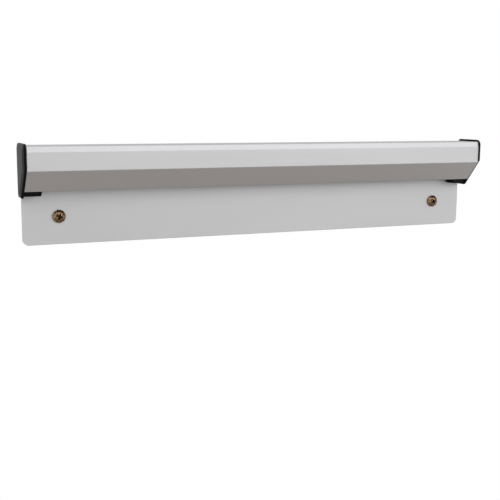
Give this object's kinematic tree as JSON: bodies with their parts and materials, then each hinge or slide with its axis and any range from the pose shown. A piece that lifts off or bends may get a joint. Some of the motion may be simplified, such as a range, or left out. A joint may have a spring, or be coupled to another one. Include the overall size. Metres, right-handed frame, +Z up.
{
  "type": "order ticket rail",
  "caption": "Wall-mounted aluminium rail that grips order slips: an extruded back plate and hood with a groove of loose glass marbles, moulded end caps and wall screws.",
  "frame": {"origin": "on the plate's back face, midway between the two wall screws", "axes": "+X along the rail, +Y into the wall along the screws, +Z up; the hood faces -Y"},
  "size_m": [0.3042, 0.0486, 0.0588],
  "materials": {
    "anodised_aluminium": "satin silver anodised",
    "black_plastic": "smooth moulded black, slightly glossy",
    "passivated_steel": "zinc plated, yellow passivated",
    "marble_glass": "polished clear glass with a green tint"
  },
  "bodies": {
    "rail": {"rail_extrusion": "anodised_aluminium", "left_end_cap": "black_plastic", "right_end_cap": "black_plastic", "left_wall_screw": "passivated_steel", "right_wall_screw": "passivated_steel"},
    "marble_01": {"marble_01": "marble_glass"},
    "marble_02": {"marble_02": "marble_glass"},
    "marble_03": {"marble_03": "marble_glass"},
    "marble_04": {"marble_04": "marble_glass"},
    "marble_05": {"marble_05": "marble_glass"},
    "marble_06": {"marble_06": "marble_glass"},
    "marble_07": {"marble_07": "marble_glass"},
    "marble_08": {"marble_08": "marble_glass"},
    "marble_09": {"marble_09": "marble_glass"},
    "marble_10": {"marble_10": "marble_glass"},
    "marble_11": {"marble_11": "marble_glass"},
    "marble_12": {"marble_12": "marble_glass"},
    "marble_13": {"marble_13": "marble_glass"},
    "marble_14": {"marble_14": "marble_glass"},
    "marble_15": {"marble_15": "marble_glass"}
  },
  "joints": [
    {"name": "marble_01_lift", "type": "slide", "parent": "rail", "child": "marble_01", "axis": [0, -0.6534, 0.757], "range_m": [0, 0.0055]},
    {"name": "marble_02_lift", "type": "slide", "parent": "rail", "child": "marble_02", "axis": [0, -0.6534, 0.757], "range_m": [0, 0.0055]},
    {"name": "marble_03_lift", "type": "slide", "parent": "rail", "child": "marble_03", "axis": [0, -0.6534, 0.757], "range_m": [0, 0.0055]},
    {"name": "marble_04_lift", "type": "slide", "parent": "rail", "child": "marble_04", "axis": [0, -0.6534, 0.757], "range_m": [0, 0.0055]},
    {"name": "marble_05_lift", "type": "slide", "parent": "rail", "child": "marble_05", "axis": [0, -0.6534, 0.757], "range_m": [0, 0.0055]},
    {"name": "marble_06_lift", "type": "slide", "parent": "rail", "child": "marble_06", "axis": [0, -0.6534, 0.757], "range_m": [0, 0.0055]},
    {"name": "marble_07_lift", "type": "slide", "parent": "rail", "child": "marble_07", "axis": [0, -0.6534, 0.757], "range_m": [0, 0.0055]},
    {"name": "marble_08_lift", "type": "slide", "parent": "rail", "child": "marble_08", "axis": [0, -0.6534, 0.757], "range_m": [0, 0.0055]},
    {"name": "marble_09_lift", "type": "slide", "parent": "rail", "child": "marble_09", "axis": [0, -0.6534, 0.757], "range_m": [0, 0.0055]},
    {"name": "marble_10_lift", "type": "slide", "parent": "rail", "child": "marble_10", "axis": [0, -0.6534, 0.757], "range_m": [0, 0.0055]},
    {"name": "marble_11_lift", "type": "slide", "parent": "rail", "child": "marble_11", "axis": [0, -0.6534, 0.757], "range_m": [0, 0.0055]},
    {"name": "marble_12_lift", "type": "slide", "parent": "rail", "child": "marble_12", "axis": [0, -0.6534, 0.757], "range_m": [0, 0.0055]},
    {"name": "marble_13_lift", "type": "slide", "parent": "rail", "child": "marble_13", "axis": [0, -0.6534, 0.757], "range_m": [0, 0.0055]},
    {"name": "marble_14_lift", "type": "slide", "parent": "rail", "child": "marble_14", "axis": [0, -0.6534, 0.757], "range_m": [0, 0.0055]},
    {"name": "marble_15_lift", "type": "slide", "parent": "rail", "child": "marble_15", "axis": [0, -0.6534, 0.757], "range_m": [0, 0.0055]}
  ]
}
